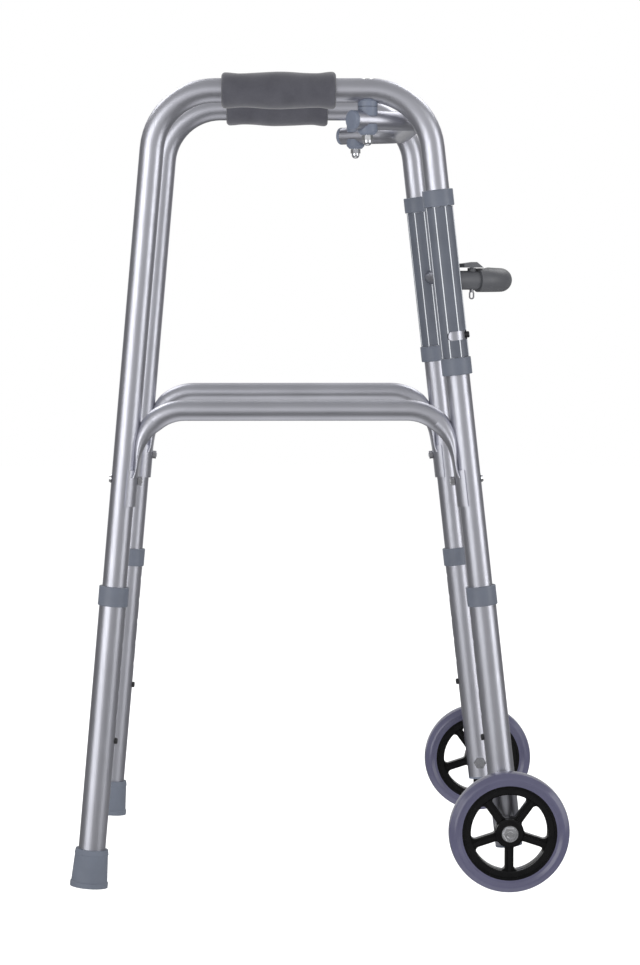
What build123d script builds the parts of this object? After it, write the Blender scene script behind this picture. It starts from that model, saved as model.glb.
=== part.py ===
from build123d import *
import os
from math import cos, sin, tan, radians, hypot

# A folding walking frame with two front wheels, in millimetres.
# X points forward, Y to the user's left and Z up. The origin is on the floor
# under the middle of the frame. Each right-hand piece is made at -Y and its
# left-hand twin is its mirror image, except where the two sides differ.

# Stance
side_offset = 235.0          # side frame plane from the middle
handle_height = 835.9        # centre of the hand rail
rear_foot_x = -242.5         # rear leg axis at the floor
rear_lean = 0.0891           # forward per unit of height
front_foot_x = 205.8         # front leg axis at the floor
front_lean = -0.1122         # backward per unit of height

# Tubes
tube_radius = 12.7
tube_wall = 1.5
top_bend_radius = 65.7
tube_low = 135.0             # lower ends of the side tube, inside the leg extensions
brace_radius = 11.0
brace_wall = 1.4
brace_height = 503.4
brace_bend_radius = 49.0
brace_reach = 13.0           # brace centreline from the leg axis where the bend ends
brace_round_angle = 50.0     # the tube is still round this far above the crushed end
brace_low = 404.0
brace_bolt_height = 431.0
brace_bolt_radius = 2.5
brace_bolt_hole = 2.6
brace_head_radius = 4.6
brace_head_height = 2.2
brace_nut_across = 8.0
brace_nut_height = 4.0
flattening = ((145, 9.2, 12.2), (160, 6.9, 13.2), (172, 5.0, 13.8))   # angle, half depth, half width
saddle_outer = 15.1          # crushed end around the leg
saddle_half_angle = 72.0
saddle_neck_height = 30.0    # top of the crushed end, above its lower edge
saddle_neck_depth = 4.2
saddle_neck_width = 13.2
saddle_height = 38.0

# Hand grip
grip_rear = -101.0
grip_front = 18.0
grip_flare = 19.0
grip_neck = 17.4
grip_crown = 19.3

# Front bow under the hand rails
pivot_x = 50.9
bow_height = 805.2
bow_radius = 10.0
bow_wall = 1.3
bow_splay = 35.0             # arm direction from straight ahead, towards the middle
bow_tail = 17.0              # tube behind the pivot bolt
bow_plug_cap = 4.5
bow_front_x = 104.0
bow_bend_radius = 48.0
cradle_radius = 10.5
slip_height = 819.3          # plane where the bow turns under the hand rail
slip_gap = 0.4
handle_cradle_top = handle_height - 4.4
cradle_shoulder = 6.5        # bevel where the cradle meets the rail: height, then depth
cradle_bevel = 4.0
bow_cradle_low = 809.5
under_cradle_top = 801.2
under_cradle_low = 790.0
under_cradle_bevel = 3.2

# Pivot bolt
bolt_radius = 3.0
bolt_hole = 3.2
bolt_head_low = handle_height + 10.7
bolt_head_top = handle_height + 12.3
bolt_head_radius = 5.2
bolt_end = 781.2
nut_across = 10.0
nut_height = 5.0
nut_dome_radius = 4.6
nut_dome_neck = 1.4
spacer_radius = 8.0
spacer_reach = 11.6          # inside the wall of the rail
dimple_low_radius = 5.6       # at the bottom of the dimple
dimple_high_radius = 9.0      # twice the dimple's depth above it
dimple_depth = 2.2

# Sleeve on each front leg, with a collar at each end
sleeve_low = 558.4
sleeve_high = 715.7
sleeve_inner = 13.0
sleeve_outer = 14.4
rib_radius = 14.85
rib_width = 1.0
upper_collar_top = 733.1
upper_collar_radius = 16.2
lower_collar_low = 540.4
lower_collar_radius = 15.8
sleeve_slot_height = 581.0
sleeve_slot_half = 4.7
sleeve_slot_start = 80.0     # polar angles about the leg: 90 is outboard, 180 is forward
sleeve_slot_end = 175.0
end_gap = 0.4
fit_gap = 0.05

# Telescopic crossbar between the sleeves
cross_height = 639.0
cross_splay = 25.0           # right arm, from straight ahead towards the middle
left_cross_splay = 65.0      # left arm, the same way
cross_reach = 58.5           # crossbar ahead of the leg axis
cross_bend_radius = 30.0
cross_tube_radius = 10.0
cross_inner_radius = 8.0
cross_cover_radius = 12.5
cross_wall = 1.3
cover_start = 35.7
arm_start = 5.0              # inner end of an arm before it is cut round the leg
arm_clearance = 13.3         # radius of that cut
right_tube_end = 45.0
cross_insert = 8.0
cross_bush_bore = 8.7
cross_bush_length = 14.0

# Lock pin on the right arm of the crossbar
lock_distance = 29.0
lock_pin_radius = 2.2
lock_hole_radius = 2.5
lock_boss_radius = 4.4
lock_boss_low = 647.8
lock_boss_top = 651.8
lock_loop_height = 623.4
lock_loop_length = 9.0
lock_loop_width = 5.6
lock_loop_wire = 1.5
lock_loop_half_depth = 1.4
lock_loop_hole = 3.4         # the loop is drawn up through this
lock_tab_low = 652.2
lock_tab_rear = 12.0         # behind the pin
lock_tab_front = 11.0        # ahead of the pin, at the bottom
lock_tab_top_front = 3.0
lock_tab_rear_height = 4.0
lock_tab_height = 5.9
lock_tab_width = 13.0

# Leg extensions
extension_outer = 14.2
extension_inner = 13.0
extension_top = 316.0
height_collar_low = 298.5
height_collar_top = 319.0
height_collar_radius = 15.8
hole_pitch = 25.4
hole_count = 6
hole_radius = 3.7
front_button_height = 160.5
rear_button_height = 157.0
button_radius = 3.4
button_proud = 3.0
button_flange = 4.8
button_flange_height = 2.2
button_seat = 7.4            # inner face of the flange from the leg axis
sleeve_button_proud = 2.2    # past the sleeve's ribs
front_tube_end = 46.0

# Rear rubber tips
tip_base_radius = 20.0
tip_top_radius = 17.0
tip_height = 40.0
tip_floor = 8.0
tip_low = tip_base_radius * rear_lean / hypot(1, rear_lean)   # base centre above the floor

# Wheels
wheel_radius = 63.5
wheel_width = 26.0
wheel_offset = 31.0          # wheel centre plane outboard of the leg axis
tyre_inner = 49.7
tyre_shoulder = 58.0
tyre_edge_round = 1.2
tread_crown = 1.0            # middle of the tread above its edges
rim_inner = 40.4
rim_recess = 2.0             # rim's face below the tyre's side
rim_bevel = 0.9
lip_outer = 48.4
lip_inner = 46.6
lip_height = 0.9
spoke_count = 5
spoke_width = 9.0
spoke_half_depth = 5.0
spoke_rib_width = 3.2
spoke_rib_half_depth = 8.5
window_corner = 4.0
web_step = 0.3               # web proud of the band and of the hub
hub_radius = 15.0
hub_bevel = 1.2
bush_radius = 7.5
axle_radius = 4.0
axle_bore = 4.1
axle_head_across = 13.0
axle_head_height = 5.3
axle_flange_radius = 8.6
axle_flange_width = 1.6
axle_nut_width = 5.4         # flange included
axle_end_proud = 1.1
axle_spacer_radius = 6.4

REAR = (rear_foot_x, rear_lean, 1)
FRONT = (front_foot_x, front_lean, -1)
side_plane = Plane.XZ.offset(side_offset)


def leg_x(leg, height):
    """X of a leg's axis at a height."""
    foot_x, lean, _ = leg
    return foot_x + lean * height


def leg_plane(leg, height):
    """Plane square to a leg: x towards the other leg, z up the leg."""
    _, lean, facing = leg
    origin = (leg_x(leg, height), -side_offset, height)
    return Plane(origin=origin, x_dir=(facing, 0, -facing * lean), z_dir=(lean, 0, 1))


def radial_plane(leg, height, angle):
    """Plane whose z points out of a leg at a polar angle."""
    square = leg_plane(leg, height)
    outward = square.x_dir * cos(radians(angle)) + square.y_dir * sin(radians(angle))
    return Plane(origin=square.origin, x_dir=square.z_dir, z_dir=outward)


def run(leg, low, high):
    """Length along a leg between two heights."""
    return (high - low) * hypot(1, leg[1])


def bend_plane(leg, angle):
    """Plane across the brace at an angle round its bend, 180 being the end at the leg."""
    facing = leg[2]
    height = brace_height - brace_bend_radius
    centre_x = leg_x(leg, height) + facing * (brace_reach + brace_bend_radius)
    along = Vector(facing * cos(radians(angle)), 0, sin(radians(angle)))
    origin = Vector(centre_x, -side_offset, height) + along * brace_bend_radius
    upward = Vector(facing * sin(radians(angle)), 0, -cos(radians(angle)))
    return Plane(origin=origin, x_dir=along * -1, z_dir=upward)


def ring(outer, inner):
    """Annulus at the current sketch location."""
    Circle(outer)
    Circle(inner, mode=Mode.SUBTRACT)


# Spacer pressed into the rail, so that the pivot bolt can be tightened
with BuildPart() as rail_spacer:
    with BuildSketch(Plane.XY.offset(handle_height - tube_radius)):
        with Locations((pivot_x, -side_offset)):
            Circle(spacer_radius)
    extrude(amount=2 * tube_radius)
    with BuildSketch(Plane.YZ.offset(pivot_x - cradle_radius)):
        with Locations((-side_offset, handle_height)):
            Circle(spacer_reach)
    extrude(amount=2 * cradle_radius, mode=Mode.INTERSECT)

# Side tube: rear leg, hand rail and front leg in one bent piece
with BuildPart() as side_tube:
    with BuildLine(side_plane) as side_path:
        FilletPolyline(
            (leg_x(REAR, tube_low), tube_low),
            (leg_x(REAR, handle_height), handle_height),
            (leg_x(FRONT, handle_height), handle_height),
            (leg_x(FRONT, tube_low), tube_low),
            radius=top_bend_radius,
        )
    with BuildSketch(side_path.line ^ 0):
        ring(tube_radius, tube_radius - tube_wall)
    sweep()
    add(rail_spacer.part)
    with Locations((pivot_x, -side_offset, handle_height + tube_radius - dimple_depth)):
        Cone(dimple_low_radius, dimple_high_radius, 2 * dimple_depth,
             align=(Align.CENTER, Align.CENTER, Align.MIN), mode=Mode.SUBTRACT)
    with Locations((pivot_x, -side_offset, handle_height + tube_radius)):
        Hole(bolt_hole, depth=3 * tube_radius)
    # Holes for the brace bolts
    for leg in (REAR, FRONT):
        with BuildSketch(radial_plane(leg, brace_bolt_height, 0)):
            Circle(brace_bolt_hole)
        extrude(amount=tube_radius + 2, both=True, mode=Mode.SUBTRACT)
    # Hole for the sleeve button
    with BuildSketch(radial_plane(FRONT, sleeve_slot_height, sleeve_slot_end)):
        Circle(button_radius + 0.3)
    extrude(amount=tube_radius + 2, mode=Mode.SUBTRACT)
    # Slots at the lower ends, where the height buttons ride
    for leg, height in ((REAR, rear_button_height), (FRONT, front_button_height)):
        with BuildSketch(radial_plane(leg, tube_low, 0)):
            SlotCenterToCenter(2 * run(leg, tube_low, height), 2 * hole_radius)
        extrude(amount=tube_radius + 2, mode=Mode.SUBTRACT)

# Solid rod along the rail, to shape what fits under it
with BuildPart() as rail_rod:
    with BuildLine(side_plane):
        rod_bend = FilletPolyline(
            (pivot_x - 4 * cradle_radius, handle_height),
            (leg_x(FRONT, handle_height), handle_height),
            (leg_x(FRONT, handle_height / 2), handle_height / 2),
            radius=top_bend_radius,
        )
    with BuildSketch(rod_bend ^ 0):
        Circle(tube_radius + fit_gap)
    sweep()

# Side brace: a tube between the legs whose ends are crushed round them
with BuildPart() as side_brace:
    rear_centre_x = leg_x(REAR, brace_height - brace_bend_radius) + brace_reach + brace_bend_radius
    front_centre_x = leg_x(FRONT, brace_height - brace_bend_radius) - brace_reach - brace_bend_radius
    bend_centre_z = brace_height - brace_bend_radius
    with BuildLine(side_plane) as brace_path:
        CenterArc((rear_centre_x, bend_centre_z), brace_bend_radius, 180 - brace_round_angle,
                  brace_round_angle - 90)
        Line((rear_centre_x, brace_height), (front_centre_x, brace_height))
        CenterArc((front_centre_x, bend_centre_z), brace_bend_radius, 90, brace_round_angle - 90)
    with BuildSketch(brace_path.line ^ 0):
        ring(brace_radius, brace_radius - brace_wall)
    sweep()
    for leg in (REAR, FRONT):
        # The round tube flattens towards the leg over the bend
        with BuildSketch(bend_plane(leg, 180 - brace_round_angle)):
            Circle(brace_radius)
        for angle, half_thick, half_wide in flattening:
            with BuildSketch(bend_plane(leg, angle)):
                Ellipse(half_thick, half_wide)
        with BuildSketch(leg_plane(leg, brace_low + saddle_neck_height)):
            with Locations((saddle_outer - 1.1 * saddle_neck_depth, 0)):
                Ellipse(saddle_neck_depth, saddle_neck_width)
        loft()
        # Crushed saddle below it
        with BuildSketch(leg_plane(leg, brace_low)):
            Circle(saddle_outer)
            keep = saddle_outer * cos(radians(saddle_half_angle))
            with Locations((keep - saddle_outer, 0)):
                Rectangle(2 * saddle_outer, 3 * saddle_outer, mode=Mode.SUBTRACT)
        extrude(amount=run(leg, brace_low, brace_low + saddle_height))
        # Room for the leg
        with BuildSketch(leg_plane(leg, brace_low - 20)):
            Circle(tube_radius + fit_gap)
        extrude(amount=120, mode=Mode.SUBTRACT)
        with BuildSketch(radial_plane(leg, brace_bolt_height, 0)):
            Circle(brace_bolt_hole)
        extrude(amount=2 * saddle_outer, mode=Mode.SUBTRACT)

# Bolts and nuts that hold the brace
with BuildPart() as brace_bolts:
    for leg in (REAR, FRONT):
        axis_plane = radial_plane(leg, brace_bolt_height, 0)
        with BuildSketch(axis_plane.offset(-tube_radius - 2 * fit_gap)):
            Circle(brace_bolt_radius)
        extrude(amount=tube_radius + saddle_outer + brace_nut_height + 1)
        with BuildSketch(axis_plane.offset(-tube_radius - fit_gap)):
            Circle(brace_head_radius)
        extrude(amount=-brace_head_height, taper=25)

with BuildPart() as brace_nuts:
    for leg in (REAR, FRONT):
        with BuildSketch(radial_plane(leg, brace_bolt_height, 0).offset(saddle_outer + fit_gap)):
            RegularPolygon(brace_nut_across / 2, 6, major_radius=False)
            Circle(brace_bolt_radius + fit_gap, mode=Mode.SUBTRACT)
        extrude(amount=brace_nut_height)

# Foam hand grip
with BuildPart() as hand_grip:
    grip_middle = (grip_rear + grip_front) / 2
    inner_z = handle_height + tube_radius + fit_gap
    with BuildSketch(side_plane):
        with BuildLine():
            Line((grip_rear, inner_z), (grip_front, inner_z))
            Line((grip_front, inner_z), (grip_front, handle_height + grip_flare - 3))
            Spline(
                (grip_front, handle_height + grip_flare - 3),
                (grip_front - 3.5, handle_height + grip_flare),
                (grip_front - 17, handle_height + grip_neck),
                (grip_middle, handle_height + grip_crown),
                (grip_rear + 17, handle_height + grip_neck),
                (grip_rear + 3.5, handle_height + grip_flare),
                (grip_rear, handle_height + grip_flare - 3),
            )
            Line((grip_rear, handle_height + grip_flare - 3), (grip_rear, inner_z))
        make_face()
    revolve(axis=Axis((0, -side_offset, handle_height), (1, 0, 0)))

# Cradle under the hand rail
with BuildPart() as handle_cradle:
    with BuildSketch(Plane.XY.offset(slip_height + slip_gap / 2)):
        with Locations((pivot_x, -side_offset)):
            Circle(cradle_radius)
    extrude(amount=handle_cradle_top - slip_height - slip_gap / 2)
    chamfer(handle_cradle.edges().group_by(Axis.Z)[-1], length=cradle_shoulder, length2=cradle_bevel)
    add(rail_rod.part, mode=Mode.SUBTRACT)
    with Locations((pivot_x, -side_offset, handle_cradle_top)):
        Hole(bolt_hole, depth=2 * cradle_radius)

# Pivot bolt and its domed nut
with BuildPart() as pivot_bolt:
    with BuildSketch(Plane.XY.offset(bolt_end)):
        with Locations((pivot_x, -side_offset)):
            Circle(bolt_radius)
    extrude(amount=bolt_head_low - bolt_end)
    with BuildSketch(Plane.XY.offset(bolt_head_low)):
        with Locations((pivot_x, -side_offset)):
            Circle(bolt_head_radius)
    extrude(amount=bolt_head_top - bolt_head_low)
    fillet(pivot_bolt.edges().group_by(Axis.Z)[-1], 1.2)

with BuildPart() as pivot_nut:
    with BuildSketch(Plane.XY.offset(under_cradle_low - slip_gap)):
        with Locations((pivot_x, -side_offset)):
            RegularPolygon(nut_across / 2, 6, major_radius=False)
    extrude(amount=-nut_height)
    with BuildSketch(Plane.XY.offset(under_cradle_low - slip_gap - nut_height)):
        with Locations((pivot_x, -side_offset)):
            Circle(nut_dome_radius)
    extrude(amount=-nut_dome_radius - nut_dome_neck)
    fillet(pivot_nut.edges().group_by(Axis.Z)[0], nut_dome_radius - 0.4)
    with BuildSketch(Plane.XY.offset(bolt_end)):
        with Locations((pivot_x, -side_offset)):
            Circle(bolt_radius + fit_gap)
    extrude(amount=3 * nut_height, mode=Mode.SUBTRACT)

# Front bow: a bent tube carried under both hand rails
arm_along = Vector(cos(radians(bow_splay)), sin(radians(bow_splay)), 0)
bow_tail_point = Vector(pivot_x, -side_offset, bow_height) - arm_along * bow_tail
bow_corner_y = -side_offset + (bow_front_x - pivot_x) * tan(radians(bow_splay))
with BuildPart() as front_bow_tube:
    with BuildLine(Plane.XY.offset(bow_height)) as bow_path:
        FilletPolyline(
            (bow_tail_point.X, bow_tail_point.Y),
            (bow_front_x, bow_corner_y),
            (bow_front_x, -bow_corner_y),
            (bow_tail_point.X, -bow_tail_point.Y),
            radius=bow_bend_radius,
        )
    with BuildSketch(bow_path.line ^ 0):
        ring(bow_radius, bow_radius - bow_wall)
    sweep()
    with Locations((pivot_x, -side_offset, bow_height + bow_radius),
                   (pivot_x, side_offset, bow_height + bow_radius)):
        Hole(bolt_hole, depth=3 * bow_radius)

with BuildPart() as bow_plug:
    plug_plane = Plane(origin=bow_tail_point, z_dir=arm_along * -1)
    with BuildSketch(plug_plane.offset(0.05)):
        Circle(bow_radius)
    extrude(amount=bow_plug_cap)
    fillet(bow_plug.faces().sort_by(Axis(bow_tail_point, arm_along))[0].edges(), 1.2)
    with BuildSketch(plug_plane.offset(0.05)):
        Circle(bow_radius - bow_wall - fit_gap)
    extrude(amount=-9.0)

with BuildPart() as bow_cradle:
    with BuildSketch(Plane.XY.offset(bow_cradle_low)):
        with Locations((pivot_x, -side_offset)):
            Circle(cradle_radius)
    extrude(amount=slip_height - slip_gap / 2 - bow_cradle_low)
    with BuildSketch(plug_plane.offset(-3 * cradle_radius - bow_tail)):
        Circle(bow_radius + fit_gap)
    extrude(amount=6 * cradle_radius, mode=Mode.SUBTRACT)
    with Locations((pivot_x, -side_offset, slip_height)):
        Hole(bolt_hole, depth=2 * cradle_radius)

with BuildPart() as under_cradle:
    with BuildSketch(Plane.XY.offset(under_cradle_low)):
        with Locations((pivot_x, -side_offset)):
            Circle(cradle_radius)
    extrude(amount=under_cradle_top - under_cradle_low)
    chamfer(under_cradle.edges().group_by(Axis.Z)[0], under_cradle_bevel)
    with BuildSketch(plug_plane.offset(-3 * cradle_radius - bow_tail)):
        Circle(bow_radius + fit_gap)
    extrude(amount=6 * cradle_radius, mode=Mode.SUBTRACT)
    with Locations((pivot_x, -side_offset, under_cradle_top)):
        Hole(bolt_hole, depth=2 * cradle_radius)


# Collars that hold each sleeve on its leg
def make_collar(leg, low, high, outer, bore):
    """Plain ring round a leg with rounded rims."""
    with BuildPart() as collar:
        with BuildSketch(leg_plane(leg, low)):
            ring(outer, bore)
        extrude(amount=run(leg, low, high))
        rims = collar.edges().filter_by(GeomType.CIRCLE).filter_by(lambda edge: edge.radius > outer - 0.1)
        fillet(rims, 1.0)
    return collar.part


collar_bore = tube_radius + fit_gap
upper_collar = make_collar(FRONT, sleeve_high, upper_collar_top, upper_collar_radius, collar_bore)
lower_collar = make_collar(FRONT, lower_collar_low, sleeve_low, lower_collar_radius, collar_bore)


def arm_plane(distance, splay=cross_splay):
    """Plane across a crossbar arm, out from the leg axis by a distance."""
    along = Vector(cos(radians(splay)), sin(radians(splay)), 0)
    start = Vector(leg_x(FRONT, cross_height), -side_offset, cross_height)
    return Plane(origin=start + along * distance, x_dir=(0, 0, 1), z_dir=along)


def make_sleeve(arm_radius, splay):
    """Ribbed sleeve that turns on the front leg, with a hole that holds a crossbar arm."""
    with BuildPart() as sleeve:
        with BuildSketch(leg_plane(FRONT, sleeve_low + end_gap)):
            Circle(sleeve_outer)
            with PolarLocations(sleeve_outer, 8, start_angle=22.5):
                Rectangle(2 * (rib_radius - sleeve_outer), rib_width)
        extrude(amount=run(FRONT, sleeve_low + end_gap, sleeve_high - end_gap))
        with BuildSketch(leg_plane(FRONT, sleeve_low - 10)):
            Circle(sleeve_inner)
        extrude(amount=run(FRONT, sleeve_low - 10, sleeve_high + 10), mode=Mode.SUBTRACT)
        with BuildSketch(arm_plane(0, splay)):
            Circle(arm_radius + fit_gap)
        extrude(amount=2 * sleeve_outer, mode=Mode.SUBTRACT)
        # Slot in which the snap button stands while the side folds
        slot_plane = leg_plane(FRONT, sleeve_slot_height)
        with BuildSketch(slot_plane.offset(-sleeve_slot_half)):
            with BuildLine():
                CenterArc((0, 0), 3 * sleeve_outer, sleeve_slot_start, sleeve_slot_end - sleeve_slot_start)
                Polyline(
                    (3 * sleeve_outer * cos(radians(sleeve_slot_end)),
                     3 * sleeve_outer * sin(radians(sleeve_slot_end))),
                    (0, 0),
                    (3 * sleeve_outer * cos(radians(sleeve_slot_start)),
                     3 * sleeve_outer * sin(radians(sleeve_slot_start))),
                )
            make_face()
        extrude(amount=2 * sleeve_slot_half, mode=Mode.SUBTRACT)
        for angle in (sleeve_slot_start, sleeve_slot_end):
            with BuildSketch(radial_plane(FRONT, sleeve_slot_height, angle)):
                Circle(sleeve_slot_half)
            extrude(amount=2 * sleeve_outer, mode=Mode.SUBTRACT)
    return sleeve.part


right_sleeve = make_sleeve(cross_tube_radius, cross_splay)
left_sleeve_mirrored = make_sleeve(cross_inner_radius, left_cross_splay)

# Snap button of the sleeve, on the leg, standing through the slot
with BuildPart() as sleeve_button:
    button_plane = radial_plane(FRONT, sleeve_slot_height, sleeve_slot_end)
    with BuildSketch(button_plane.offset(button_seat)):
        Circle(button_flange)
    extrude(amount=button_flange_height)
    with BuildSketch(button_plane.offset(button_seat)):
        Circle(button_radius)
    extrude(amount=rib_radius + sleeve_button_proud - button_seat)
    fillet(sleeve_button.edges().filter_by(GeomType.CIRCLE)
           .sort_by(lambda edge: (edge.center() - button_plane.origin).length)[-1], 1.4)

# Crossbar: a dark tube and an elbow cover on the right, a thinner bright tube on the left
cross_front_x = leg_x(FRONT, cross_height) + cross_reach
cross_corner_y = -side_offset + cross_reach * tan(radians(cross_splay))
left_corner_y = -side_offset + cross_reach * tan(radians(left_cross_splay))
lock_x, lock_y, _ = arm_plane(lock_distance).origin


# Space in which the leg turns, past the inner end of an arm
with BuildPart() as leg_clearance:
    with BuildSketch(leg_plane(FRONT, sleeve_low)):
        Circle(arm_clearance)
    extrude(amount=run(FRONT, sleeve_low, sleeve_high))

with BuildPart() as right_crossbar_tube:
    with BuildSketch(arm_plane(arm_start)):
        ring(cross_tube_radius, cross_tube_radius - cross_wall)
    extrude(amount=right_tube_end - arm_start)
    add(leg_clearance.part, mode=Mode.SUBTRACT)
    # Guide for the lock pin above, and room for its loop below
    with BuildSketch(Plane(origin=(lock_x, lock_y, lock_boss_low))):
        Circle(lock_boss_radius)
    extrude(amount=lock_boss_top - lock_boss_low)
    with BuildSketch(Plane(origin=(lock_x, lock_y, cross_height))):
        Circle(lock_hole_radius)
    extrude(amount=2 * cross_tube_radius, mode=Mode.SUBTRACT)
    with BuildSketch(Plane(origin=(lock_x, lock_y, cross_height))):
        Circle(lock_loop_hole)
    extrude(amount=-2 * cross_tube_radius, mode=Mode.SUBTRACT)

with BuildPart() as right_crossbar_cover:
    cover_origin = arm_plane(cover_start).origin
    with BuildLine(Plane.XY.offset(cross_height)) as cover_path:
        FilletPolyline(
            (cover_origin.X, cover_origin.Y),
            (cross_front_x, cross_corner_y),
            (cross_front_x, 0),
            radius=cross_bend_radius,
        )
    with BuildSketch(cover_path.line ^ 0):
        ring(cross_cover_radius, cross_tube_radius + fit_gap)
    sweep()

# Guide bush in the mouth of the cover
with BuildPart() as right_crossbar_bush:
    mouth_plane = Plane(origin=(cross_front_x, 0, cross_height), x_dir=(0, 0, 1), z_dir=(0, -1, 0))
    with BuildSketch(mouth_plane):
        ring(cross_tube_radius, cross_bush_bore)
    extrude(amount=cross_bush_length)

# Bright inner tube of the left side, made at -Y and mirrored below
with BuildPart() as left_crossbar_tube_mirrored:
    inner_origin = arm_plane(arm_start, left_cross_splay).origin
    with BuildLine(Plane.XY.offset(cross_height)) as inner_path:
        FilletPolyline(
            (inner_origin.X, inner_origin.Y),
            (cross_front_x, left_corner_y),
            (cross_front_x, cross_insert),
            radius=cross_bend_radius,
        )
    with BuildSketch(inner_path.line ^ 0):
        ring(cross_inner_radius, cross_inner_radius - cross_wall)
    sweep()
    add(leg_clearance.part, mode=Mode.SUBTRACT)

# Lock pin through the right crossbar tube, with its lift tab above and a loop below
lock_pin_low = lock_loop_height + lock_loop_length / 2 - lock_loop_wire
with BuildPart() as lock_pin:
    with BuildSketch(Plane(origin=(lock_x, lock_y, lock_pin_low))):
        Circle(lock_pin_radius)
    extrude(amount=lock_tab_low - lock_pin_low)
    with BuildSketch(Plane(origin=(lock_x, lock_y, lock_loop_height), x_dir=(1, 0, 0), z_dir=(0, -1, 0))):
        SlotOverall(lock_loop_length, lock_loop_width, rotation=90)
        SlotOverall(lock_loop_length - 2 * lock_loop_wire, lock_loop_width - 2 * lock_loop_wire,
                    rotation=90, mode=Mode.SUBTRACT)
    extrude(amount=lock_loop_half_depth, both=True)

with BuildPart() as lock_tab:
    tab_plane = Plane(origin=(lock_x, lock_y, lock_tab_low),
                      x_dir=(cos(radians(cross_splay)), sin(radians(cross_splay)), 0),
                      z_dir=(sin(radians(cross_splay)), -cos(radians(cross_splay)), 0))
    with BuildSketch(tab_plane):
        Polygon(
            (-lock_tab_rear, 0),
            (lock_tab_front, 0),
            (lock_tab_top_front, lock_tab_height),
            (-lock_tab_rear, lock_tab_rear_height),
            align=None,
        )
    extrude(amount=lock_tab_width / 2, both=True)
    fillet(lock_tab.edges().group_by(Axis.Z)[-1], 1.0)


def make_extension(leg, button_height, low, mid_axle):
    """Lower leg that slides outside the side tube, with a row of setting holes."""
    with BuildPart() as extension:
        with BuildSketch(leg_plane(leg, low)):
            ring(extension_outer, extension_inner)
        extrude(amount=run(leg, low, extension_top))
        for step in range(hole_count):
            height = button_height + step * hole_pitch / hypot(1, leg[1])
            with BuildSketch(radial_plane(leg, height, 0)):
                Circle(hole_radius)
            extrude(amount=extension_outer + 3, mode=Mode.SUBTRACT)
        if mid_axle:
            with BuildSketch(Plane(origin=(leg_x(leg, wheel_radius), -side_offset, wheel_radius),
                                   z_dir=(0, 1, 0))):
                Circle(axle_bore)
            extrude(amount=2 * extension_outer, both=True, mode=Mode.SUBTRACT)
    return extension.part


rear_tube_end = tip_low + (tip_floor + fit_gap) / hypot(1, rear_lean)
rear_leg = make_extension(REAR, rear_button_height, rear_tube_end, False)
front_leg = make_extension(FRONT, front_button_height, front_tube_end, True)


def make_height_collar(leg):
    """Collar at the top of a leg extension, with a lip over the tube's end."""
    with BuildPart() as collar:
        with BuildSketch(leg_plane(leg, height_collar_low)):
            Circle(height_collar_radius)
        extrude(amount=run(leg, height_collar_low, height_collar_top))
        fillet(collar.edges().filter_by(GeomType.CIRCLE), 1.0)
        with BuildSketch(leg_plane(leg, height_collar_low)):
            Circle(extension_outer + fit_gap)
        extrude(amount=run(leg, height_collar_low, extension_top) + fit_gap, mode=Mode.SUBTRACT)
        with BuildSketch(leg_plane(leg, height_collar_low)):
            Circle(extension_inner + fit_gap)
        extrude(amount=run(leg, height_collar_low, height_collar_top + 5), mode=Mode.SUBTRACT)
    return collar.part


rear_collar = make_height_collar(REAR)
front_collar = make_height_collar(FRONT)


def make_height_button(leg, height):
    """Snap button that stands in the extension's setting hole."""
    with BuildPart() as button:
        inner = button_seat
        with BuildSketch(radial_plane(leg, height, 0).offset(inner)):
            Circle(button_flange)
        extrude(amount=button_flange_height)
        with BuildSketch(radial_plane(leg, height, 0).offset(inner)):
            Circle(button_radius)
        extrude(amount=extension_outer + button_proud - inner)
        origin = radial_plane(leg, height, 0).origin
        fillet(button.edges().filter_by(GeomType.CIRCLE)
               .sort_by(lambda edge: (edge.center() - origin).length)[-1], 1.5)
    return button.part


rear_button = make_height_button(REAR, rear_button_height)
front_button = make_height_button(FRONT, front_button_height)

# Rubber tip on each rear leg; its base is square to the leg
with BuildPart() as rear_tip:
    with BuildSketch(side_plane) as tip_profile:
        with BuildLine():
            tip_points = (
                (0, 0), (tip_base_radius, 0), (tip_base_radius, 5.0), (tip_base_radius - 0.9, 6.0),
                (tip_top_radius + 0.5, tip_height - 6.0), (tip_top_radius + 1.0, tip_height - 5.0),
                (tip_top_radius, tip_height), (extension_outer + fit_gap, tip_height),
                (extension_outer + fit_gap, tip_floor), (0, tip_floor),
            )
            Polyline(*tip_points, close=True)
        make_face()
    revolve(axis=Axis((0, -side_offset, 0), (0, 0, 1)))
rear_tip_part = leg_plane(REAR, tip_low).location * Pos(0, side_offset, 0) * rear_tip.part

# Plug in the lower end of the front leg
with BuildPart() as front_plug:
    with BuildSketch(leg_plane(FRONT, front_tube_end).offset(-fit_gap)):
        Circle(extension_outer)
    extrude(amount=-2.0)
    with BuildSketch(leg_plane(FRONT, front_tube_end).offset(-fit_gap)):
        Circle(extension_inner - fit_gap)
    extrude(amount=6.0)

# Wheel: everything is round about the axle
axle_x = leg_x(FRONT, wheel_radius)
wheel_y = -side_offset - wheel_offset
half_wheel = wheel_width / 2


def wheel_plane(offset):
    """Plane across the axle, out from the wheel's centre plane."""
    return Plane(origin=(axle_x, wheel_y, wheel_radius), x_dir=(1, 0, 0), z_dir=(0, -1, 0)).offset(offset)


axle = Axis((axle_x, wheel_y, wheel_radius), (0, 1, 0))
section_plane = Plane(origin=(axle_x, wheel_y, wheel_radius), x_dir=(0, 1, 0), z_dir=(1, 0, 0))

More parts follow.
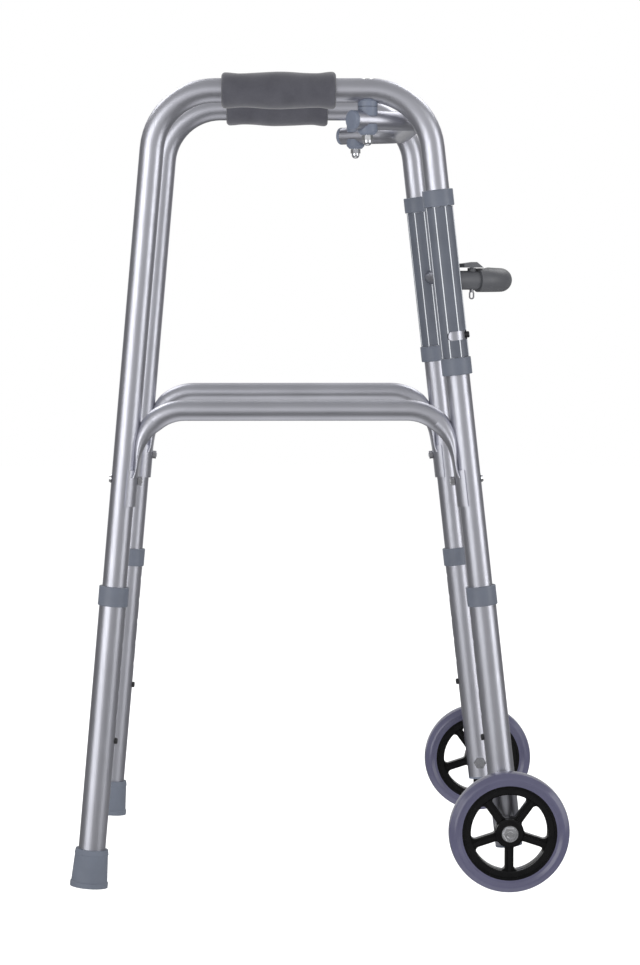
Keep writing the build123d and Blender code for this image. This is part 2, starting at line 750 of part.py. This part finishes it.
with BuildPart() as wheel_tyre:
    with BuildSketch(section_plane):
        with BuildLine():
            Polyline(
                (-half_wheel + 1.5, tyre_inner), (-half_wheel + 1.5, tyre_inner + 2.5),
                (-half_wheel, tyre_shoulder - 2.0), (-half_wheel + 0.6, tyre_shoulder),
                (-half_wheel + 4.0, wheel_radius - tread_crown),
            )
            ThreePointArc((-half_wheel + 4.0, wheel_radius - tread_crown), (0, wheel_radius),
                          (half_wheel - 4.0, wheel_radius - tread_crown))
            Polyline(
                (half_wheel - 4.0, wheel_radius - tread_crown), (half_wheel - 0.6, tyre_shoulder),
                (half_wheel, tyre_shoulder - 2.0), (half_wheel - 1.5, tyre_inner + 2.5),
                (half_wheel - 1.5, tyre_inner), (-half_wheel + 1.5, tyre_inner),
            )
        make_face()
    revolve(axis=axle)
    shoulders = wheel_tyre.edges().filter_by(GeomType.CIRCLE)
    fillet(shoulders.filter_by(lambda edge: edge.radius > tyre_shoulder - 3.0), tyre_edge_round)

rim_face = half_wheel - rim_recess
web_plane = Plane(origin=(axle_x, wheel_y, wheel_radius), x_dir=(0, 0, -1), z_dir=(0, -1, 0))
with BuildPart() as wheel_rim:
    # Band with a lip round each face, and hub
    with BuildSketch(section_plane):
        Polygon(
            (-rim_face, tyre_inner - fit_gap), (-rim_face, lip_outer),
            (-rim_face - lip_height, lip_outer - 0.4), (-rim_face - lip_height, lip_inner + 0.4),
            (-rim_face, lip_inner), (-rim_face, rim_inner + rim_bevel), (-rim_face + rim_bevel, rim_inner),
            (rim_face - rim_bevel, rim_inner), (rim_face, rim_inner + rim_bevel), (rim_face, lip_inner),
            (rim_face + lip_height, lip_inner + 0.4), (rim_face + lip_height, lip_outer - 0.4),
            (rim_face, lip_outer), (rim_face, tyre_inner - fit_gap),
            align=None,
        )
        Polygon(
            (-half_wheel, 0), (-half_wheel, hub_radius - hub_bevel), (-half_wheel + hub_bevel, hub_radius),
            (half_wheel - hub_bevel, hub_radius), (half_wheel, hub_radius - hub_bevel), (half_wheel, 0),
            align=None,
        )
    revolve(axis=axle)
    # Web of spokes with rounded window corners
    with BuildSketch(web_plane) as web:
        ring(tyre_inner - 1.0, rim_inner - web_step)
        Circle(hub_radius + web_step)
        with PolarLocations((hub_radius + rim_inner) / 2, spoke_count):
            Rectangle(rim_inner - hub_radius + 4, spoke_width)
        corners = web.vertices().filter_by(
            lambda vertex: hypot(vertex.X, vertex.Y) < rim_inner + 1.0)
        fillet(corners, window_corner)
    extrude(amount=spoke_half_depth, both=True)
    # Raised rib along each spoke
    with BuildSketch(web_plane):
        with PolarLocations((hub_radius + rim_inner) / 2, spoke_count):
            Rectangle(rim_inner - hub_radius + 4, spoke_rib_width)
    extrude(amount=spoke_rib_half_depth, both=True)
    with BuildSketch(wheel_plane(-wheel_width)):
        Circle(bush_radius + fit_gap)
    extrude(amount=2 * wheel_width, mode=Mode.SUBTRACT)

with BuildPart() as wheel_bush:
    with BuildSketch(wheel_plane(-half_wheel - 0.6)):
        ring(bush_radius, axle_bore)
    extrude(amount=wheel_width + 1.2)

# Axle: bolt head on the inner side of the leg, flanged nut outside the wheel
axle_head_y = extension_outer + 0.3
axle_nut_start = wheel_offset + half_wheel + 1.0
axle_length = axle_nut_start + axle_nut_width + axle_end_proud
axle_start = Plane(origin=(axle_x, -side_offset, wheel_radius), x_dir=(1, 0, 0), z_dir=(0, -1, 0))
with BuildPart() as axle_bolt:
    with BuildSketch(axle_start.offset(-axle_head_y)):
        Circle(axle_radius)
    extrude(amount=axle_head_y + axle_length)
    chamfer(axle_bolt.edges().filter_by(GeomType.CIRCLE).sort_by(Axis.Y)[0], 0.8)
    with BuildSketch(axle_start.offset(-axle_head_y)):
        RegularPolygon(axle_head_across / 2, 6, major_radius=False)
    extrude(amount=-axle_head_height)

with BuildPart() as axle_nut:
    with BuildSketch(axle_start.offset(axle_nut_start)):
        RegularPolygon(axle_head_across / 2, 6, major_radius=False)
    extrude(amount=axle_nut_width)
    chamfer(axle_nut.edges().group_by(Axis.Y)[0], 0.7)
    with BuildSketch(axle_start.offset(axle_nut_start)):
        Circle(axle_flange_radius)
    extrude(amount=axle_flange_width)
    with BuildSketch(axle_start.offset(axle_nut_start - 1)):
        Circle(axle_radius + fit_gap)
    extrude(amount=axle_nut_width + 2, mode=Mode.SUBTRACT)
    # Spacer between the leg and the wheel
    with BuildSketch(axle_start.offset(extension_outer + 0.2)):
        ring(axle_spacer_radius, axle_radius + fit_gap)
    extrude(amount=wheel_offset - half_wheel - extension_outer - 1.2)

# Every node is written as one STEP file
paired = {
    "side_tube": side_tube.part,
    "side_brace": side_brace.part,
    "brace_bolts": brace_bolts.part,
    "brace_nuts": brace_nuts.part,
    "hand_grip": hand_grip.part,
    "handle_cradle": handle_cradle.part,
    "pivot_bolt": pivot_bolt.part,
    "pivot_nut": pivot_nut.part,
    "upper_collar": upper_collar,
    "lower_collar": lower_collar,
    "sleeve_button": sleeve_button.part,
    "rear_leg": rear_leg,
    "rear_collar": rear_collar,
    "rear_tip": rear_tip_part,
    "rear_button": rear_button,
    "front_leg": front_leg,
    "front_collar": front_collar,
    "front_plug": front_plug.part,
    "front_button": front_button,
    "axle_bolt": axle_bolt.part,
    "axle_nut": axle_nut.part,
    "wheel_tyre": wheel_tyre.part,
    "wheel_rim": wheel_rim.part,
    "wheel_bush": wheel_bush.part,
}
both_sides = {
    "bow_plugs": bow_plug.part,
    "bow_cradles": bow_cradle.part,
    "under_cradles": under_cradle.part,
}
single = {
    "front_bow_tube": front_bow_tube.part,
    "right_leg_sleeve": right_sleeve,
    "right_crossbar_tube": right_crossbar_tube.part,
    "right_crossbar_cover": right_crossbar_cover.part,
    "right_crossbar_bush": right_crossbar_bush.part,
    "right_lock_pin": lock_pin.part,
    "right_lock_tab": lock_tab.part,
}
mirrored_only = {
    "left_leg_sleeve": left_sleeve_mirrored,
    "left_crossbar_tube": left_crossbar_tube_mirrored.part,
}

os.makedirs("parts", exist_ok=True)


def write_node(node, piece):
    """Label a piece and write its STEP file."""
    piece.label = node
    export_step(piece, f"parts/{node}.step")


for node, piece in single.items():
    write_node(node, piece)
for node, piece in paired.items():
    with BuildPart() as twin:
        mirror(piece.solids(), about=Plane.XZ)
    write_node("right_" + node, piece)
    write_node("left_" + node, twin.part)
for node, piece in mirrored_only.items():
    with BuildPart() as twin:
        mirror(piece.solids(), about=Plane.XZ)
    write_node(node, twin.part)
for node, piece in both_sides.items():
    with BuildPart() as pair:
        add(piece)
        mirror(piece.solids(), about=Plane.XZ)
    write_node(node, pair.part)
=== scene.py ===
"""Looks of a folding walking frame with two front wheels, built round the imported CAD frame."""

import math
import random

import bmesh
import bpy
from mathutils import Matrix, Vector


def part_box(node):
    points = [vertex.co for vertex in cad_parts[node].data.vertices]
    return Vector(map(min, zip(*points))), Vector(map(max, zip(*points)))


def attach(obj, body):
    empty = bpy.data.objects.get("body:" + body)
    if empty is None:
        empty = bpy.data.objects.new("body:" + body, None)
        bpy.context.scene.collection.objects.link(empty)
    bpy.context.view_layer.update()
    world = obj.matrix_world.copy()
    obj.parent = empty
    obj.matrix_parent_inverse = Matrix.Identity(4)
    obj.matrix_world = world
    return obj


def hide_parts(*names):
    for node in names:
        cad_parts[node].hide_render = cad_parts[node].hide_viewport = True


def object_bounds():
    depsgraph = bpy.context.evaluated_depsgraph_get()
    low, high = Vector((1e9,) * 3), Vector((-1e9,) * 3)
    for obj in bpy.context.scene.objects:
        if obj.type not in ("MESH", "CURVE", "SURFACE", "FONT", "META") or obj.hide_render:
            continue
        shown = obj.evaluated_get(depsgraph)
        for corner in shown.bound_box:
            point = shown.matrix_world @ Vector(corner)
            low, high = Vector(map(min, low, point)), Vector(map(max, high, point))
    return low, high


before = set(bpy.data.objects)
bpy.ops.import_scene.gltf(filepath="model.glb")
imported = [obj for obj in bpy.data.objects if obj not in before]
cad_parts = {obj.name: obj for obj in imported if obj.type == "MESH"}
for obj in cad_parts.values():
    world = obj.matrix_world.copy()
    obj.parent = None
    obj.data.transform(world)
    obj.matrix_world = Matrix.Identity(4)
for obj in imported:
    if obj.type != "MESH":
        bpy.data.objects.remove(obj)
cad_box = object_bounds()
random.seed(7)

SIDES = ("right", "left")
TAU = 2 * math.pi

LEG_FOOT_X, LEG_LEAN, LEG_SIDE = 0.2058, -0.1122, 0.235   # axis of a front leg
RIB_FOOT, RIB_CREST = 0.01447, 0.01470   # radii across which the painted highlight fades in towards the crests of a sleeve's ribs

# The floor lies where the fully lengthened legs end, so that it never hides them
LONGEST_REACH = 0.1275

TENT_RADIUS, TENT_BOTTOM, TENT_TOP = 4.3, -0.4, 3.6
TENT_SEGMENTS = 96
TENT_PROFILE = (   # radius and height
    (0.3, TENT_BOTTOM), (1.0, TENT_BOTTOM), (TENT_RADIUS, TENT_BOTTOM),
    (TENT_RADIUS, TENT_TOP), (0.1, TENT_TOP))

# Soft boxes: azimuth from the front of the studio, height, distance, size and power
SOFT_BOXES = {
    "key_left": (-41, 0.9, 3.6, (2.9, 2.4), 53),
    "key_right": (60, 0.9, 3.6, (1.9, 2.4), 38),
    "back_left": (-140, 3.1, 2.6, (2.2, 1.8), 36),
    "back_right": (140, 3.1, 2.6, (2.2, 1.8), 36),
}
LIGHT_TARGET = Vector((0, 0, 0.45))

CAMERA_PLACE = (-0.0557, -3.785, 0.666)
CAMERA_PITCH, CAMERA_YAW = math.radians(3.84), math.radians(0.922)
CAMERA_LENS, CAMERA_SENSOR = 126.8, 36.0


# ---------------------------------------------------------------- node helpers
def new_material(name):
    """An empty node material with its Principled shader and output."""
    material = bpy.data.materials.new(name)
    material.use_nodes = True
    nodes = material.node_tree.nodes
    shader = nodes["Principled BSDF"]
    return material, nodes, material.node_tree.links, shader


def noise(nodes, links, scale, detail=4.0, roughness=0.5, stretch=(1, 1, 1), distortion=0.0):
    """Noise in object coordinates, stretched along an axis where asked."""
    place = nodes.new("ShaderNodeTexCoord")
    mapping = nodes.new("ShaderNodeMapping")
    mapping.inputs["Scale"].default_value = stretch
    texture = nodes.new("ShaderNodeTexNoise")
    texture.inputs["Scale"].default_value = scale
    texture.inputs["Detail"].default_value = detail
    texture.inputs["Roughness"].default_value = roughness
    texture.inputs["Distortion"].default_value = distortion
    links.new(place.outputs["Object"], mapping.inputs["Vector"])
    links.new(mapping.outputs["Vector"], texture.inputs["Vector"])
    return texture.outputs["Fac"]


def ramp(nodes, links, source, stops):
    """Colour ramp from (position, colour) stops."""
    node = nodes.new("ShaderNodeValToRGB")
    node.color_ramp.elements[0].position = stops[0][0]
    node.color_ramp.elements[0].color = (*stops[0][1], 1)
    node.color_ramp.elements[1].position = stops[-1][0]
    node.color_ramp.elements[1].color = (*stops[-1][1], 1)
    for position, colour in stops[1:-1]:
        element = node.color_ramp.elements.new(position)
        element.color = (*colour, 1)
    links.new(source, node.inputs["Fac"])
    return node.outputs["Color"]


def spread(nodes, links, source, low, high, from_low=0.3, from_high=0.7):
    """Map a texture value to a range."""
    node = nodes.new("ShaderNodeMapRange")
    node.inputs["From Min"].default_value = from_low
    node.inputs["From Max"].default_value = from_high
    node.inputs["To Min"].default_value = low
    node.inputs["To Max"].default_value = high
    links.new(source, node.inputs["Value"])
    return node.outputs["Result"]


def bump(nodes, links, shader, height, distance, strength, before=None):
    """Add a bump to the shader's normal, on top of an earlier one."""
    node = nodes.new("ShaderNodeBump")
    node.inputs["Distance"].default_value = distance
    node.inputs["Strength"].default_value = strength
    links.new(height, node.inputs["Height"])
    if before is not None:
        links.new(before, node.inputs["Normal"])
    links.new(node.outputs["Normal"], shader.inputs["Normal"])
    return node.outputs["Normal"]


def shade(colour, factor):
    """A lighter or darker version of a colour."""
    return tuple(min(1.0, channel * factor) for channel in colour)


# ---------------------------------------------------------------- materials
def satin_aluminium(name, stretch):
    """Satin anodised tube: fine drawing lines along the tube and faint cloudy variation."""
    material, nodes, links, shader = new_material(name)
    colour = (0.54, 0.545, 0.60)
    clouds = noise(nodes, links, 14.0, 3.0)
    lines = noise(nodes, links, 900.0, 2.0, stretch=stretch)
    grains = noise(nodes, links, 2600.0, 2.0)
    links.new(ramp(nodes, links, clouds, [(0.3, shade(colour, 0.94)), (0.7, shade(colour, 1.04))]),
              shader.inputs["Base Color"])
    links.new(spread(nodes, links, lines, 0.35, 0.44), shader.inputs["Roughness"])
    shader.inputs["Metallic"].default_value = 1.0
    first = bump(nodes, links, shader, lines, 0.00003, 0.5)
    bump(nodes, links, shader, grains, 0.00002, 0.35, first)
    return material


def moulded_plastic(name, colour, roughness, grain=0.00006, specular=0.4):
    """Moulded plastic: fine spark-eroded texture, slight mottling and handling sheen."""
    material, nodes, links, shader = new_material(name)
    clouds = noise(nodes, links, 35.0, 4.0)
    texture = noise(nodes, links, 2400.0, 3.0, 0.6)
    smears = noise(nodes, links, 60.0, 5.0, 0.65, distortion=0.6)
    links.new(ramp(nodes, links, clouds, [(0.25, shade(colour, 0.88)), (0.75, shade(colour, 1.10))]),
              shader.inputs["Base Color"])
    links.new(spread(nodes, links, smears, roughness - 0.06, roughness + 0.09), shader.inputs["Roughness"])
    shader.inputs["Specular IOR Level"].default_value = specular
    bump(nodes, links, shader, texture, grain, 0.6)
    return material


def sleeve_with_painted_rib_highlight(name, colour, rib_highlight_colour):
    """Sleeve plastic with a painted highlight: the colour turns pale on the crests of the raised ribs,
    whatever the light.
    """
    material = moulded_plastic(name, colour, 0.40)
    nodes, links = material.node_tree.nodes, material.node_tree.links
    shader = nodes["Principled BSDF"]
    place = nodes.new("ShaderNodeTexCoord")
    folded = nodes.new("ShaderNodeVectorMath")
    folded.operation = "ABSOLUTE"
    offset = nodes.new("ShaderNodeVectorMath")
    offset.operation = "SUBTRACT"
    offset.inputs[1].default_value = (LEG_FOOT_X, LEG_SIDE, 0)
    crossed = nodes.new("ShaderNodeVectorMath")
    crossed.operation = "CROSS_PRODUCT"
    crossed.inputs[1].default_value = Vector((LEG_LEAN, 0, 1)).normalized()
    length = nodes.new("ShaderNodeVectorMath")
    length.operation = "LENGTH"
    links.new(place.outputs["Object"], folded.inputs[0])
    links.new(folded.outputs[0], offset.inputs[0])
    links.new(offset.outputs[0], crossed.inputs[0])
    links.new(crossed.outputs[0], length.inputs[0])
    # Painted highlight: the base colour turns pale on the outermost radii of the sleeve, the crests of its
    # ribs
    rib_highlight_mask = spread(nodes, links, length.outputs["Value"], 0.0, 1.0, RIB_FOOT, RIB_CREST)
    plain = shader.inputs["Base Color"].links[0].from_socket
    mix = nodes.new("ShaderNodeMix")
    mix.data_type = "RGBA"
    mix.inputs[7].default_value = (*rib_highlight_colour, 1)
    links.new(rib_highlight_mask, mix.inputs[0])
    links.new(plain, mix.inputs[6])
    links.new(mix.outputs[2], shader.inputs["Base Color"])
    return material


def closed_cell_foam(name):
    """Grip foam: skinned closed cells, a little uneven, very matt."""
    material, nodes, links, shader = new_material(name)
    place = nodes.new("ShaderNodeTexCoord")
    cells = nodes.new("ShaderNodeTexVoronoi")
    cells.inputs["Scale"].default_value = 1500.0
    links.new(place.outputs["Object"], cells.inputs["Vector"])
    clouds = noise(nodes, links, 45.0, 5.0, 0.6)
    pores = noise(nodes, links, 700.0, 3.0, 0.6)
    links.new(ramp(nodes, links, clouds, [(0.3, (0.046, 0.046, 0.057)), (0.7, (0.062, 0.062, 0.075))]),
              shader.inputs["Base Color"])
    links.new(spread(nodes, links, pores, 0.78, 0.95), shader.inputs["Roughness"])
    shader.inputs["Specular IOR Level"].default_value = 0.25
    shader.inputs["Sheen Weight"].default_value = 0.25
    shader.inputs["Sheen Roughness"].default_value = 0.5
    first = bump(nodes, links, shader, cells.outputs["Distance"], 0.00012, 0.5)
    bump(nodes, links, shader, pores, 0.00015, 0.4, first)
    return material


def bright_metal(name, colour, roughness):
    """Plated steel with faint turning marks and small stains."""
    material, nodes, links, shader = new_material(name)
    stains = noise(nodes, links, 180.0, 4.0)
    marks = noise(nodes, links, 2200.0, 2.0, stretch=(1, 0.15, 1))
    links.new(ramp(nodes, links, stains, [(0.3, shade(colour, 0.8)), (0.7, shade(colour, 1.08))]),
              shader.inputs["Base Color"])
    links.new(spread(nodes, links, marks, roughness, roughness + 0.14), shader.inputs["Roughness"])
    shader.inputs["Metallic"].default_value = 1.0
    bump(nodes, links, shader, marks, 0.00003, 0.4)
    return material


def tyre_rubber(name):
    """Grey non-marking tyre: smooth moulded sides, a lightly scuffed tread and dust."""
    material, nodes, links, shader = new_material(name)
    colour = (0.070, 0.069, 0.115)
    clouds = noise(nodes, links, 30.0, 5.0, 0.6)
    scuffs = noise(nodes, links, 420.0, 5.0, 0.7, stretch=(1, 3, 1))
    texture = noise(nodes, links, 1900.0, 3.0)
    tones = [(0.25, shade(colour, 0.90)), (0.5, colour), (0.8, shade(colour, 1.14))]
    links.new(ramp(nodes, links, clouds, tones), shader.inputs["Base Color"])
    links.new(spread(nodes, links, scuffs, 0.16, 0.24), shader.inputs["Roughness"])
    shader.inputs["Specular IOR Level"].default_value = 0.5
    first = bump(nodes, links, shader, texture, 0.00001, 0.4)
    bump(nodes, links, shader, scuffs, 0.00001, 0.3, first)
    return material


ALONG_LEG = (1.0, 1.0, 0.03)
ALONG_BAR = (0.03, 1.0, 1.0)
ALONG_CROSS = (1.0, 0.03, 1.0)

MATERIALS = {
    "leg": satin_aluminium("satin_leg", ALONG_LEG),
    "bar": satin_aluminium("satin_bar", ALONG_BAR),
    "cross": satin_aluminium("satin_cross", ALONG_CROSS),
    # The sleeve's last colour is its painted highlight on the ribs
    "sleeve": sleeve_with_painted_rib_highlight("sleeve_plastic", (0.080, 0.089, 0.112), (0.56, 0.58, 0.62)),
    "collar": moulded_plastic("collar_plastic", (0.098, 0.110, 0.140), 0.40),
    "cradle": moulded_plastic("cradle_plastic", (0.122, 0.140, 0.185), 0.42),
    "cover": moulded_plastic("cover_plastic", (0.068, 0.070, 0.078), 0.44),
    "tip": moulded_plastic("tip_rubber", (0.100, 0.113, 0.143), 0.56, 0.0001, 0.3),
    "rim": moulded_plastic("rim_black", (0.002, 0.002, 0.0025), 0.22, 0.00001, 0.32),
    "button": moulded_plastic("button_black", (0.014, 0.014, 0.016), 0.30, 0.00003),
    "foam": closed_cell_foam("grip_foam"),
    "steel": bright_metal("bright_steel", (0.80, 0.81, 0.84), 0.12),
    "dark_steel": bright_metal("dark_steel", (0.30, 0.30, 0.32), 0.26),
    "tyre": tyre_rubber("tyre_grey"),
}

NODE_MATERIALS = {
    "side_tube": "leg", "side_brace": "bar", "brace_bolts": "steel", "brace_nuts": "dark_steel",
    "handle_cradle": "cradle", "pivot_bolt": "steel", "pivot_nut": "steel", "upper_collar": "collar",
    "lower_collar": "collar", "sleeve_button": "button", "rear_leg": "leg", "rear_collar": "collar",
    "rear_tip": "tip", "rear_button": "button", "front_leg": "leg", "front_collar": "collar",
    "front_plug": "cradle", "front_button": "button", "axle_bolt": "steel", "axle_nut": "steel",
    "wheel_tyre": "tyre", "wheel_rim": "rim", "wheel_bush": "steel", "leg_sleeve": "sleeve",
    "hand_grip": "foam", "front_bow_tube": "cross", "bow_plugs": "cradle", "bow_cradles": "cradle",
    "under_cradles": "cradle", "right_crossbar_tube": "cover", "right_crossbar_cover": "cover",
    "right_crossbar_bush": "cradle", "left_crossbar_tube": "cross", "right_lock_pin": "dark_steel",
    "right_lock_tab": "cover",
}


def dress_cad_nodes():
    """Give every CAD node its material."""
    for node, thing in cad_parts.items():
        plain = node.split("_", 1)[1] if node.split("_", 1)[0] in SIDES else node
        key = NODE_MATERIALS.get(node) or NODE_MATERIALS[plain]
        thing.data.materials.clear()
        thing.data.materials.append(MATERIALS[key])


# ---------------------------------------------------------------- mesh helpers
def finish_mesh(name, mesh_builder, material, body, sharp_angle=35.0):
    """Turn a bmesh into a smooth-shaded object that rides on a body."""
    mesh = bpy.data.meshes.new(name)
    bmesh.ops.recalc_face_normals(mesh_builder, faces=mesh_builder.faces)
    mesh_builder.to_mesh(mesh)
    mesh_builder.free()
    thing = bpy.data.objects.new(name, mesh)
    bpy.context.collection.objects.link(thing)
    mesh.materials.append(MATERIALS[material])
    mesh.polygons.foreach_set("use_smooth", [True] * len(mesh.polygons))
    mesh.set_sharp_from_angle(angle=math.radians(sharp_angle))
    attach(thing, body)
    return thing


def lathe(builder, profile, centre, axis, across, segments=96, wobble=None):
    """Revolve a closed (along, radius) profile about an axis through centre."""
    side = axis.cross(across)
    rings = []
    for step in range(segments):
        angle = TAU * step / segments
        out = across * math.cos(angle) + side * math.sin(angle)
        ring = []
        for along, radius in profile:
            extra = wobble(along, angle, radius) if wobble else 0.0
            ring.append(builder.verts.new(centre + axis * along + out * (radius + extra)))
        rings.append(ring)
    count = len(profile)
    for step in range(segments):
        here, there = rings[step], rings[(step + 1) % segments]
        for point in range(count):
            after = (point + 1) % count
            builder.faces.new((here[point], here[after], there[after], there[point]))


# ---------------------------------------------------------------- hand grips
def smooth_between(points, steps):
    """Points on a smooth curve through (along, radius) points, eased with cosines."""
    result = []
    for (x0, r0), (x1, r1) in zip(points, points[1:]):
        for step in range(steps):
            share = step / steps
            ease = (1 - math.cos(math.pi * share)) / 2
            result.append((x0 + (x1 - x0) * share, r0 + (r1 - r0) * ease))
    result.append(points[-1])
    return result


def make_grip(side):
    """Moulded foam grip: flared round ends, two necks and a crowned middle."""
    low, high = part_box(side + "_hand_grip")
    centre = (Vector(low) + Vector(high)) / 2
    half = (high[0] - low[0]) / 2
    bore = 0.01285
    corner = 0.0042
    rear_flare, rear_neck, crown, front_neck, front_flare = 0.0187, 0.0175, 0.0193, 0.0179, 0.0195
    outline = [(-half, bore), (-half, rear_flare - corner)]
    for step in range(1, 8):
        angle = math.pi / 2 * step / 8
        outline.append((-half + corner * (1 - math.cos(angle)), rear_flare - corner * (1 - math.sin(angle))))
    outline += smooth_between(
        [(-half + corner, rear_flare), (-half + 0.020, rear_neck), (0.0, crown),
         (half - 0.020, front_neck), (half - corner, front_flare)], 14)
    for step in range(1, 8):
        angle = math.pi / 2 * step / 8
        outline.append((half - corner * (1 - math.sin(angle)), front_flare - corner * (1 - math.cos(angle))))
    outline += [(half, front_flare - corner), (half, bore)]
    phase = random.uniform(0, TAU)

    def dents(along, angle, radius):
        """Foam is never quite round: shallow waves that die out at the bore."""
        if radius < bore + 0.0005:
            return 0.0
        broad = 0.00014 * math.sin(2 * angle + phase + 40 * along)
        return broad + 0.00008 * math.sin(5 * angle + 170 * along)

    builder = bmesh.new()
    lathe(builder, outline, centre, Vector((1, 0, 0)), Vector((0, 0, 1)), 128, dents)
    grip = finish_mesh(side + "_foam_grip", builder, "foam", side + "_frame", 60.0)
    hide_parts(side + "_hand_grip")


# ---------------------------------------------------------------- studio
def area_light(name, azimuth, height, distance, size, power):
    """Soft box aimed at the middle of the frame and unseen by the camera."""
    angle = math.radians(azimuth)
    place = Vector((distance * math.sin(angle), -distance * math.cos(angle), height))
    data = bpy.data.lights.new(name, "AREA")
    data.shape = "RECTANGLE"
    data.size, data.size_y = size
    data.energy = power
    light = bpy.data.objects.new(name, data)
    light.location = place
    light.rotation_euler = (LIGHT_TARGET - place).to_track_quat("-Z", "Y").to_euler()
    light.visible_camera = False
    bpy.context.collection.objects.link(light)


def blend(nodes, links, factor, low, high):
    """Blend two levels, either of which may be a number or an earlier result."""
    node = nodes.new("ShaderNodeMix")
    for socket, level in ((node.inputs[2], low), (node.inputs[3], high)):
        if isinstance(level, float):
            socket.default_value = level
        else:
            links.new(level, socket)
    links.new(factor, node.inputs[0])
    return node.outputs[0]


def build_tent():
    """Tent seen only in reflections: grey sides, lighter at front, back, top and floor centre."""
    builder = bmesh.new()
    rings = []
    for radius, height in TENT_PROFILE:
        ring = []
        for step in range(TENT_SEGMENTS):
            angle = TAU * step / TENT_SEGMENTS
            ring.append(builder.verts.new((radius * math.cos(angle), radius * math.sin(angle), height)))
        rings.append(ring)
    for lower, upper in zip(rings, rings[1:]):
        for step in range(TENT_SEGMENTS):
            after = (step + 1) % TENT_SEGMENTS
            builder.faces.new((lower[step], lower[after], upper[after], upper[step]))
    builder.faces.new(rings[0])
    builder.faces.new(rings[-1])
    mesh = bpy.data.meshes.new("studio_tent")
    builder.to_mesh(mesh)
    builder.free()
    tent = bpy.data.objects.new("studio_tent", mesh)
    bpy.context.collection.objects.link(tent)
    tent.visible_camera = False
    tent.visible_diffuse = False
    tent.visible_shadow = False

    material, nodes, links, shader = new_material("tent_cloth")
    place = nodes.new("ShaderNodeTexCoord")
    parts = nodes.new("ShaderNodeSeparateXYZ")
    links.new(place.outputs["Object"], parts.inputs["Vector"])
    flat = nodes.new("ShaderNodeVectorMath")
    flat.operation = "MULTIPLY"
    flat.inputs[1].default_value = (1, 1, 0)
    links.new(place.outputs["Object"], flat.inputs[0])
    reach = nodes.new("ShaderNodeVectorMath")
    reach.operation = "LENGTH"
    links.new(flat.outputs[0], reach.inputs[0])
    depth = nodes.new("ShaderNodeMath")
    depth.operation = "ABSOLUTE"
    links.new(parts.outputs["Y"], depth.inputs[0])
    facing = spread(nodes, links, depth.outputs[0], 0.0, 1.0, 2.9, 4.1)
    overhead = spread(nodes, links, parts.outputs["Z"], 0.0, 1.0, 1.7, 3.4)
    lower = spread(nodes, links, parts.outputs["Z"], 1.0, 0.0, -0.35, -0.2)
    centre = spread(nodes, links, reach.outputs["Value"], 1.0, 0.0, 0.35, 0.9)
    side, front, top, under = 0.20, 0.68, 0.46, 0.90
    level = blend(nodes, links, facing, side, front)
    level = blend(nodes, links, overhead, level, top)
    level = blend(nodes, links, lower, level, blend(nodes, links, centre, side, under))
    links.new(level, shader.inputs["Emission Strength"])
    shader.inputs["Emission Color"].default_value = (1, 1, 1, 1)
    shader.inputs["Base Color"].default_value = (0, 0, 0, 1)
    shader.inputs["Specular IOR Level"].default_value = 0.0
    mesh.materials.append(material)


def build_studio():
    """Pale floor and surroundings, soft boxes, and a tent for the reflections."""
    floor_mesh = bpy.data.meshes.new("studio_floor")
    builder = bmesh.new()
    bmesh.ops.create_circle(builder, cap_ends=True, segments=128, radius=9.0)
    builder.to_mesh(floor_mesh)
    builder.free()
    floor = bpy.data.objects.new("studio_floor", floor_mesh)
    floor.location.z = cad_box[0][2] - LONGEST_REACH
    floor.visible_glossy = False
    bpy.context.collection.objects.link(floor)
    material, nodes, links, shader = new_material("pale_floor")
    clouds = noise(nodes, links, 0.6, 3.0)
    links.new(ramp(nodes, links, clouds, [(0.3, (0.88, 0.88, 0.88)), (0.7, (0.90, 0.90, 0.90))]),
              shader.inputs["Base Color"])
    shader.inputs["Roughness"].default_value = 0.9
    shader.inputs["Specular IOR Level"].default_value = 0.0
    shader.inputs["Emission Color"].default_value = (1, 1, 1, 1)
    shader.inputs["Emission Strength"].default_value = 0.12
    floor_mesh.materials.append(material)

    world = bpy.data.worlds.new("studio")
    world.use_nodes = True
    world.node_tree.nodes["Background"].inputs["Color"].default_value = (1, 1, 1, 1)
    bpy.context.scene.world = world
    build_tent()
    for name, (azimuth, height, distance, size, power) in SOFT_BOXES.items():
        area_light(name, azimuth, height, distance, size, power)


def build_camera():
    """Camera on the right-hand side, below the hand rails and looking slightly down."""
    data = bpy.data.cameras.new("camera")
    data.lens = CAMERA_LENS
    data.sensor_width = CAMERA_SENSOR
    camera = bpy.data.objects.new("camera", data)
    camera.location = CAMERA_PLACE
    camera.rotation_euler = (math.pi / 2 - CAMERA_PITCH, 0, -CAMERA_YAW)
    bpy.context.collection.objects.link(camera)
    bpy.context.scene.camera = camera


build_camera()
build_studio()
dress_cad_nodes()
for side in SIDES:
    make_grip(side)

scene = bpy.context.scene
scene.view_settings.view_transform = "Standard"
